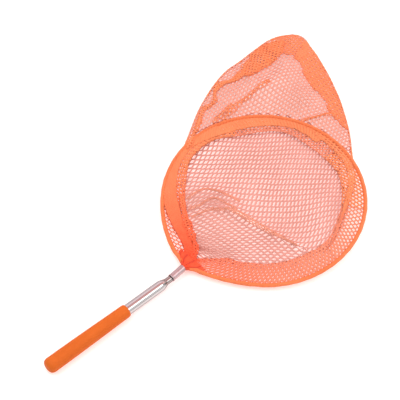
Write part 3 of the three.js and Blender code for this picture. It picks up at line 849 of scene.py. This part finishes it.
v, q = join([panel(FAR_RUN, far_plan, z_low, (0, ROWS), (-90, 80), far_twine, 1.2, lean=0.55),
             panel(NEAR_RUN, near_plan, z_low, (-44, 20), (-20, 21), near_twine, 1.2, open=0.2),
             panel(BAG_RUN, under_plan, z_low, (-40, 70), (-60, 60), 1.05, 1.2, lean=0.2)])
lower = piece("net_lower", from_bag(v), q, NET, "head", "net_lower_panel", sharp=0, weld=0.02)

# ------------------------------------------------------- bag: upper panel
v, q = panel(UP_DOMAIN, up_plan, z_up, (-40, 70), (-60, 60), 1.95, TT, lean=0.2, open=0.06)
upper = piece("net_upper", from_bag(v), q, NET_UP, "head", "net_upper_panel", sharp=0, weld=0.02)

# Folded-over netting that lies on the upper panel: extra layers, drawn closer together.
RB_IN = catmull([(34.1, 168.4), (40.1, 163.2), (43.6, 147.7), (52.1, 131.1), (61.7, 119.6), (67.0, 103.3), (72.6, 94.6), (80, 86)], 2.0)
k1 = int(np.argmin(np.hypot(*(OUTLINE - np.array([45.0, 200.0])).T)))
k2 = int(np.argmin(np.hypot(*(OUTLINE - np.array([88.0, 80.0])).T)))
RIGHT_BAND = np.concatenate([OUTLINE[k1:k2], RB_IN[::-1]])
PATCH = catmull([(-9.6, 168.7), (-11.6, 176.5), (-3.2, 186.1), (11.4, 194.0), (25.8, 193.7), (22.2, 175.2), (12.6, 162.2), (-1.9, 149.3), (-12.1, 145.1), (-20.1, 151.3)], 2.0, True)
TIP = catmull([(-3.0, 187.5), (7.5, 195.1), (22.1, 203.0), (35.7, 205.5), (43.6, 201.5), (50.3, 190.6), (44.6, 171.1), (26.4, 172.0), (10.3, 180.9)], 2.0, True)


def layers(name, domain, base, looks, width=1.55, mat=NET_DENSE):
    parts = []
    for pu, pv, turn, shear, lift, ox, oy in looks:
        parts.append(panel(domain, turned_plan(pu, pv, turn, shear, ox, oy, 0.8), lambda x, y: base(x, y) + lift,
                           (-40, 90), (-60, 60), width, TT, 0.6))
    v, q = join(parts)
    return piece(name, from_bag(v), q, mat, "head", sharp=0, weld=0.02)


fold_right = layers("net_fold_right", RIGHT_BAND, z_up, [(4.5, 3.4, -62, 0.2, 0.8, 60, 100)], 2.75, NET_FOLD)
fold_patch = layers("net_fold_patch", PATCH, z_up, [(3.8, 2.9, 40, 0.2, 0.8, 0, 150), (4.2, 3.1, 28, 0.1, 1.6, 1, 151)], 1.5)
fold_tip = layers("net_fold_tip", TIP, z_up, [(4.4, 3.4, 12, 0.2, 0.8, 0, 160)], 1.9, NET_FOLD)


def strip(line, wide, rows, pitch, base, lift, arch, width=TW, thick=TT, most=0.84):
    """A narrow run of gathered netting along a line, arched over what it lies on."""
    line = np.asarray(line, float)
    along = np.concatenate([[0], np.cumsum(np.linalg.norm(np.diff(line, axis=0), axis=1))])
    t = np.gradient(line, axis=0)
    t /= np.linalg.norm(t, axis=1)[:, None]
    n = np.stack([-t[:, 1], t[:, 0]], 1)
    cols = int(along[-1] / pitch)
    step = along[-1] / cols
    wide = np.broadcast_to(np.asarray(wide, float), (len(line),)) if np.ndim(wide) else np.full(len(line), float(wide))
    j, i = np.meshgrid(np.arange(rows), np.arange(cols), indexing="ij")
    uc, vc = (i + 0.5 * (j % 2)).ravel().astype(float), j.ravel().astype(float)

    def at(s, c):
        x = np.interp(s, along, line[:, 0]) + c * np.interp(s, along, n[:, 0])
        y = np.interp(s, along, line[:, 1]) + c * np.interp(s, along, n[:, 1])
        return x, y

    def spot(u, v):
        s = np.clip(u + 0.25, 0, cols) * step
        f = (np.clip(v, -1 / 3, rows - 2 / 3) + 1 / 3) / (rows - 1 / 3) * 2 - 1
        w = np.interp(s, along, wide)
        x, y = at(s, f * w / 2)
        taper = smooth(0, 8, s) * smooth(0, 8, along[-1] - s)
        return np.stack([x, y, base(x, y) + lift + arch * taper * (1 - f * f)], 1)

    def place(u, v):
        h = 0.06
        p = spot(u, v)
        a = spot(u + h, v) - spot(u - h, v)
        b = spot(u, v + h) - spot(u, v - h)
        k = np.cross(a, b)
        l = np.linalg.norm(k, axis=1)
        k = np.where(l[:, None] > 1e-9, k / np.maximum(l, 1e-9)[:, None], np.array([0, 0, 1.0]))
        return p, k

    return netting(uc, vc, place, width, thick, most=most)


slack = Waves(21, 30, 9, 10)


def loose(line, mean, vary):
    """An uneven width along a fold, as slack netting has."""
    return np.maximum(mean + vary * slack(line[:, 0], line[:, 1]), 1.6)


BUNCH = spaced(catmull([(-45.8, 131), (-43.4, 137), (-37.5, 140.6), (-29.5, 141.8), (-23, 146.5), (-19.5, 152)], 1.5), 1.5)
v, q = join([strip(FOLD_LINE, loose(FOLD_LINE, 4.8, 1.5), 2, 3.3, z_up, 0.9, 0.4, 1.3),
             strip(FOLD_LINE, loose(FOLD_LINE + 40, 2.6, 1.0), 2, 3.9, z_up, 0.2, 1.0, 1.2),
             strip(BUNCH, loose(BUNCH, 6.4, 1.2), 3, 3.0, z_up, 1.5, 0.5, 1.5)])
fold_left = piece("net_fold_left", from_bag(v), q, NET_DENSE, "head", sharp=0, weld=0.02)
v, q = join([strip(DIAG, loose(DIAG, 4.8, 1.6), 2, 4.6, z_up, 0.8, 0.3, 1.2), strip(DIAG_2, loose(DIAG_2, 3.8, 1.2), 2, 4.4, z_up, 0.8, 0.3, 1.2),
             strip(RIGHT_FOLD, loose(RIGHT_FOLD, 2.8, 0.8), 2, 4.2, z_up, 0.7, 0.3, 1.1)])
fold_mid = piece("net_fold_middle", from_bag(v), q, NET_DENSE, "head", sharp=0, weld=0.02)

# Slack netting doubled over itself along the crease, and small arcs of it that run in from the left.
line = spaced(CREASE[int(0.14 * len(CREASE)):int(0.9 * len(CREASE))], 1.5)
wide = np.interp(np.linspace(0, 1, len(line)), [0, 0.12, 0.3, 0.48, 0.62, 0.74, 1], [1.2, 4.4, 6.2, 5.6, 5.0, 3.4, 1.2])
parts = [strip(line, wide, 3, 3.6, z_low, 0.5, 0.1, 1.15)]
for arc in ([(-73.7, 1.1), (-65.9, 5.9), (-57.0, 10.4), (-51.1, 9.2), (-43.2, 6.8), (-36.3, 4.1), (-29.4, 1.1), (-22.6, -2.5)],
            [(-72.7, -9.6), (-61.9, -7.2), (-53.1, -1.3), (-46.2, -0.1), (-39.3, -3.6), (-32.5, -8.4), (-26.7, -13.1)],
            [(-69.7, -19.0), (-60.9, -15.4), (-52.1, -11.5), (-43.3, -12.6), (-36.5, -14.2)]):
    arc = spaced(catmull(arc, 1.5), 1.5)
    parts.append(strip(arc, loose(arc, 2.2, 0.5), 2, 3.4, z_low, 0.5, 0.1, 0.9))
v, q = join(parts)
crease = piece("net_fold_crease", from_bag(v), q, NET_SLACK, "head", sharp=0, weld=0.02)

# The bag's side edge, where the two panels are one folded sheet.
edge = np.column_stack([OUTLINE, 1.55 + 0.25 * w_mid(OUTLINE[:, 0], OUTLINE[:, 1])])
edge = spaced(edge, 1.5)
wob = 0.12 * np.sin(np.arange(len(edge)) * 1.7)
v, q, tri, uv = sweep(edge, 0.95 + wob, 0.9 + wob, 12)
side_edge = piece("net_side_edge", from_bag(v), q, NET_DENSE, "head", uv=uv, tris=tri, sharp=0)

# ---------------------------------------------------------------- bag: hem
pleat = Waves(11, 24, 11, 8)


def z_hem(r, th):
    R = rim_r(th) - 1.2
    zi = 2.9 + 1.9 * smooth(-0.3, 0.6, np.sin(np.radians(th)))
    f = np.clip((R - r) / np.maximum(R - HEM_IN(th), 1), 0, 1.2)
    x, y = r * np.cos(np.radians(th)), r * np.sin(np.radians(th))
    gather = np.exp(-(((th - 225.7 + 180) % 360 - 180) / 28.0) ** 2)
    fan = 0.9 * gather * np.sin(np.radians(((th - 225.7 + 180) % 360 - 180)) * 26) * f
    return zi + (7.3 - zi) * (1 - np.clip(f, 0, 1)) ** 1.25 + 0.28 * f * pleat(x, y) + fan


def hem_layer(cols, rows, lo_r, hi_r, lift, th0=None, th1=None, shear=0.0, width=TW, open=0.0, most=0.84):
    """Netting in a ring or arc between two radii; th0 and th1 give an arc its ends."""
    whole = th0 is None
    a0, span = (0.0, 360.0) if whole else (th0, th1 - th0)
    j, i = np.meshgrid(np.arange(rows), np.arange(cols), indexing="ij")
    uc, vc = (i + 0.5 * (j % 2)).ravel().astype(float), j.ravel().astype(float)

    def spot(u, v):
        if not whole:
            u = np.clip(u, 0, cols - 0.5)
        f = (np.clip(v, -1 / 3, rows - 2 / 3) + 1 / 3) / (rows - 1 / 3)
        th = a0 + span * (u + shear * (v - rows / 2)) / cols
        hi_, lo_ = hi_r(th), lo_r(th)
        r = hi_ + (lo_ - hi_) * f
        return np.stack([r * np.cos(np.radians(th)), r * np.sin(np.radians(th)), z_hem(r, th) + lift], 1)

    def place(u, v):
        h = 0.05
        p = spot(u, v)
        a = spot(u + h, v) - spot(u - h, v)
        b = spot(u, v + h) - spot(u, v - h)
        k = np.cross(a, b)
        l = np.linalg.norm(k, axis=1)
        k = np.where(l[:, None] > 1e-9, k / np.maximum(l, 1e-9)[:, None], np.array([0, 0, -1.0]))
        return p, k

    return netting(uc, vc, place, width, TT, cols if whole else None, most, open=open)


def rim_edge(t):
    return rim_r(t) - 1.2


def hem_twine(p):
    """The hem's netting is fuller along the near side, where it lies slack, and finer left of the ferrule, where it is stretched."""
    th = np.degrees(np.arctan2(p[:, 1], p[:, 0])) % 360
    return 1.45 + 0.85 * smooth(226, 244, th) * (1 - smooth(312, 345, th)) - 0.35 * smooth(178, 192, th) * (1 - smooth(214, 224, th))


COLS, TIERS = 128, 7
v, q = hem_layer(COLS, TIERS, HEM_IN, rim_edge, 0.0, shear=0.25, width=hem_twine, open=0.12)
hem = piece("net_hem", from_bag(v), q, NET_HEM, "head", "mouth_hem", sharp=0, weld=0.02)


def second_turn(a, b, lift, width):
    """A second turn of the hem between two of its columns, mesh over mesh."""
    return hem_layer(b - a, TIERS, HEM_IN, rim_edge, lift, 360 * a / COLS, 360 * b / COLS, 0.25, width, 0.12)


CASE_IN = ring_table([(0, 80), (28, 82), (45, 84), (60, 88), (72, 90.3), (81, 88.6), (94, 86.6), (108, 85.6), (116, 86.2), (122, 87.5), (131, 90), (140, 92), (151, 90.5), (166, 86.5),
                      (175, 84.5), (184, 82), (193, 80.8), (207, 81.5), (216, 85), (224, 93), (232, 92), (340, 79)], 2.0)
v, q = join([second_turn(38, 67, 0.5, 1.6), second_turn(43, 55, 1.0, 2.2),
             hem_layer(84, 7, CASE_IN, BAND_OUT, 0.7, 50, 229, 0.3, 2.0, most=0.98),
             hem_layer(62, 9, CASE_IN, BAND_OUT, 1.4, 116, 228, -0.2, 2.2, most=0.98)])
band_left = piece("hem_band_left", from_bag(v), q, NET_DENSE, "head", sharp=0, weld=0.02)

# On the right the hem doubles back as a narrow roll that leaves the rim and dies out toward the near side.
ROLL_IN = ring_table([(60, 93), (51, 91), (39, 89.6), (29, 90), (20, 87.5), (12, 84), (2, 79.2), (352, 76.2), (341, 75), (331, 76.4), (321, 79.8), (314, 82)], 2.0)
ROLL_OUT = in_rim(ring_table([(60, 96), (27, 97), (19, 94.3), (11, 90.9), (4, 86), (357, 82), (348, 79.4), (340, 78.6), (330, 79.2), (321, 81.4), (314, 82.4)], 2.0))


def dying(table, other, end):
    """Draws one edge of the roll in to the middle as it nears its end."""
    return lambda t: table(t) + (other(t) - table(t)) * 0.46 * (1 - smooth(end, end + 16, t))


v, q = join([second_turn(-2, 14, 0.5, 1.4),
             hem_layer(28, 3, dying(ROLL_IN, ROLL_OUT, -18), dying(ROLL_OUT, ROLL_IN, -18), 1.1, -18, 58, 0.3, 1.9, most=0.97)])
band_right = piece("hem_band_right", from_bag(v), q, NET_DENSE, "head", sharp=0, weld=0.02)
v, q = join([hem_layer(18, 3, dying(ROLL_IN, ROLL_OUT, -46), dying(ROLL_OUT, ROLL_IN, -46), 0.8, -46, 0, 0.3, 2.0, most=0.98),
             second_turn(81, 113, 0.5, hem_twine)])
band_near = piece("hem_band_near", from_bag(v), q, NET_HEM, "head", sharp=0, weld=0.02)

# Rolled inner edge of the hem, and the doubled edge of the left band down to the ferrule.
th = np.arange(-42.0, 224.0, 0.8)
r_ = HEM_IN(th)
p = np.column_stack([polar(r_, th), z_hem(r_, th)])
wob = 0.08 * np.sin(np.arange(len(p)) * 1.3)
v, q, tri, uv = sweep(p, 0.52 + wob, 0.5 + wob, 10)
hem_edge = piece("hem_rolled_edge", from_bag(v), q, NET_HEM, "head", uv=uv, tris=tri, sharp=0)

LEFT_ROLL = spaced(catmull([(-78.6, 4), (-77.6, -7.2), (-74.5, -24.4), (-69.8, -39.2), (-66.2, -50.5), (-65.5, -58), (-69.3, -66.1)], 2.0), 1.6)


def on_hem(x, y):
    return z_hem(np.hypot(x, y), np.degrees(np.arctan2(y, x)) % 360)


v, q = strip(LEFT_ROLL, loose(LEFT_ROLL, 6.4, 1.6), 3, 3.2, on_hem, 1.8, 0.8, 1.9, most=0.97)
hem_folds = piece("hem_folds", from_bag(v), q, NET_DENSE, "head", sharp=0, weld=0.02)

# Gathered netting that is tucked into the ferrule and closes the fork of the hoop.
s_ = np.array([16.3, 17.2, 18.0, 18.8, 19.6, 20.4, 21.4, 22.6, 23.8, 25.2, 26.8, 28.6, 30.2])
w_ = np.array([2.9, 3.5, 4.2, 5.0, 6.2, 7.4, 9.2, 11.4, 13.2, 14.8, 15.8, 16.4, 16.6])
h_ = np.array([2.9, 3.2, 3.4, 3.4, 3.3, 3.2, 3.0, 2.8, 2.5, 2.1, 1.7, 1.2, 0.7])
fine = np.linspace(16.3, 30.2, 48)
ang = np.arange(72) / 72 * 2 * np.pi
fold = 1 + (0.26 * np.cos(11 * ang) + 0.12 * np.cos(17 * ang + 1.0)) * smooth(16.3, 21, fine)[:, None]
v, q, tri, uv = sweep(np.column_stack([fine, np.zeros_like(fine), -0.2 * smooth(20, 30, fine)]),
                      np.interp(fine, s_, w_)[:, None] * np.ones(72), np.interp(fine, s_, h_)[:, None] * fold, 72)
throat = piece("net_throat_gather", from_head(v), q, THROAT, "head", uv=uv, tris=tri, sharp=0)

# --------------------------------------------------------------- area of the hem's ring, worked out and not used
def flat_area(poly):
    x, y = poly[:, 0], poly[:, 1]
    return abs(float((x * np.roll(y, -1) - y * np.roll(x, -1)).sum())) / 2e6


ring = np.arange(0.0, 360.0, 2.0)
flat_area(polar(rim_r(ring) - 1.2, ring)) - flat_area(polar(HEM_IN(ring), ring))

# -------------------------------------------------------------------- stage
me = bpy.data.meshes.new("floor")
e = 4.0
me.from_pydata([(-e, -e, -0.0002), (e, -e, -0.0002), (e, e, -0.0002), (-e, e, -0.0002)], [], [(0, 1, 2, 3)])
floor = bpy.data.objects.new("floor", me)
bpy.context.scene.collection.objects.link(floor)
# The floor gives off pink light of its own over a bluish base, so it reads white where lit and pink where shaded:
# painted pink light under the net, for light coming through the orange netting.
k = Look("floor_pink_glow", Roughness=0.6, Emission_Color=(1.0, 0.64, 0.59, 1.0), Emission_Strength=0.63)
k.set("Base Color", k.ramp(k.noise(3.0, 3), [(0.3, (0.66, 0.75, 0.76)), (0.7, (0.68, 0.77, 0.78))]))
me.materials.append(k.m)

world = bpy.data.worlds.new("studio")
bpy.context.scene.world = world
world.use_nodes = True
t = world.node_tree
bg = next(n for n in t.nodes if n.type == "BACKGROUND")
co = t.nodes.new("ShaderNodeTexCoord")
sep = t.nodes.new("ShaderNodeSeparateXYZ")
t.links.new(co.outputs["Generated"], sep.inputs[0])
rp = t.nodes.new("ShaderNodeValToRGB")
t.links.new(sep.outputs["Z"], rp.inputs["Fac"])
el = rp.color_ramp.elements
for pos, c in ((0.0, (0.22, 0.22, 0.222)), (0.12, (0.26, 0.26, 0.262)), (0.30, (0.36, 0.36, 0.36)), (0.7, (0.44, 0.44, 0.44))):
    x = el[0] if pos == 0.0 else el.new(pos)
    x.color = (*c, 1)
el[-1].position = 1.0
el[-1].color = (0.48, 0.48, 0.48, 1)
t.links.new(rp.outputs["Color"], bg.inputs["Color"])
bg.inputs["Strength"].default_value = 1.0


def softbox(name, at, size, power, color=(1, 1, 1), end=False):
    """A soft panel beside the handle's line, facing it, with its first side along the handle; or at the line's end."""
    d = bpy.data.lights.new(name, "AREA")
    d.shape = "RECTANGLE"
    d.size, d.size_y = size
    d.energy = power
    d.color = color
    o = bpy.data.objects.new(name, d)
    bpy.context.scene.collection.objects.link(o)
    x = Vector((0, 1, 0) if end else (1, 0, 0))
    z = Vector(at) - Vector((-0.1 if end else at[0], at[1] if end else -0.035, 0.0075))
    z.normalize()
    m = Matrix((x, z.cross(x), z)).transposed().to_4x4()
    m.translation = Vector(at)
    o.matrix_world = m
    return o


softbox("key_box", (0.453, -0.802, 1.235), (1.6, 0.80), 10)
softbox("top_box", (-0.62, 0.45, 1.45), (1.4, 1.4), 15)
softbox("end_panel", (1.35, -0.08, 0.62), (1.2, 1.05), 2.9, (1.0, 0.72, 0.68), end=True)
softbox("front_panel", (0.60, -1.30, 0.45), (1.7, 0.62), 2.5, (1.0, 0.95, 0.94))
softbox("rose_panel", (0.95, 0.063, 1.40), (1.7, 0.86), 3.0, (1.0, 0.15, 0.10))
softbox("lilac_panel", (0.95, 0.87, 0.98), (1.7, 0.66), 3.6, (1.0, 0.62, 0.66))
softbox("rear_panel", (0.95, 1.22, 0.46), (1.7, 0.62), 2.6, (1.0, 0.80, 0.85))

# ------------------------------------------------------------------- camera
cam_data = bpy.data.cameras.new("camera")
cam = bpy.data.objects.new("camera", cam_data)
bpy.context.scene.collection.objects.link(cam)
cam_data.sensor_width = 36.0
cam_data.lens = 149.56
el_, az_ = math.radians(56.0), math.radians(49.6)
fwd = Vector((math.cos(el_) * math.cos(az_), math.cos(el_) * math.sin(az_), -math.sin(el_)))
target = Vector(((OX + 223.44) / 1000, (OY + 49.69) / 1000, AXIS_Z / 1000))
cam.location = target - fwd * 1.6
cam.rotation_mode = "QUATERNION"
cam.rotation_quaternion = fwd.to_track_quat("-Z", "Y")
cam_data.clip_start, cam_data.clip_end = 0.05, 50.0
bpy.context.scene.camera = cam
bpy.context.scene.view_settings.view_transform = "Standard"
bpy.context.scene.view_settings.look = "None"
